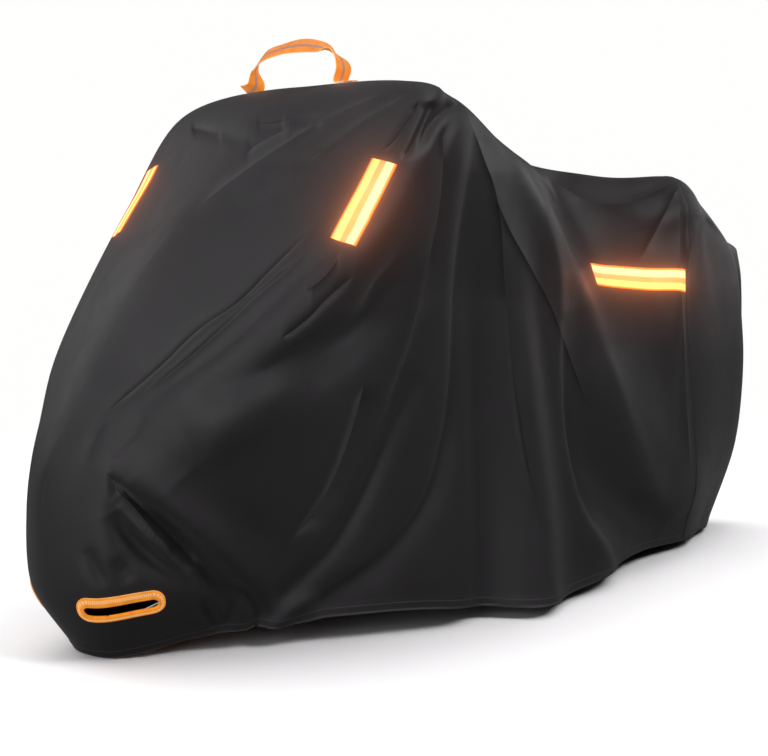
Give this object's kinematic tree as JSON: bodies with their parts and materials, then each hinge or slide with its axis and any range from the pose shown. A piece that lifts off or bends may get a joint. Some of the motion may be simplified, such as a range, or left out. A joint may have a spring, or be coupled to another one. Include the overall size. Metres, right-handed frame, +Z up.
{
  "type": "motorcycle cover",
  "caption": "Fitted outdoor cover for a large motorcycle, hanging in folds, with reflective tapes, bound lock slots low at the front and a carry handle on top.",
  "frame": {"origin": "under the top of the cover, where the machine's handlebar carries the cloth", "axes": "+Z up, -X towards the nose, -Y towards the near side of the picture"},
  "size_m": [2.3555, 0.9122, 1.2826],
  "materials": {
    "coated_cloth": "smooth coated polyester, soft sheen",
    "reflective_tape": "reflective tape with a grey-pink middle stripe",
    "slot_binding": "woven orange binding",
    "handle_webbing": "woven orange webbing with a grey middle line"
  },
  "bodies": {
    "root": {"cover_body": "coated_cloth", "cover_tail": "coated_cloth", "front_tape_near": "reflective_tape", "front_tape_far": "reflective_tape", "rear_tape_near": "reflective_tape", "rear_tape_far": "reflective_tape", "slot_binding_near": "slot_binding", "slot_binding_far": "slot_binding", "carry_handle": "handle_webbing"}
  },
  "joints": []
}
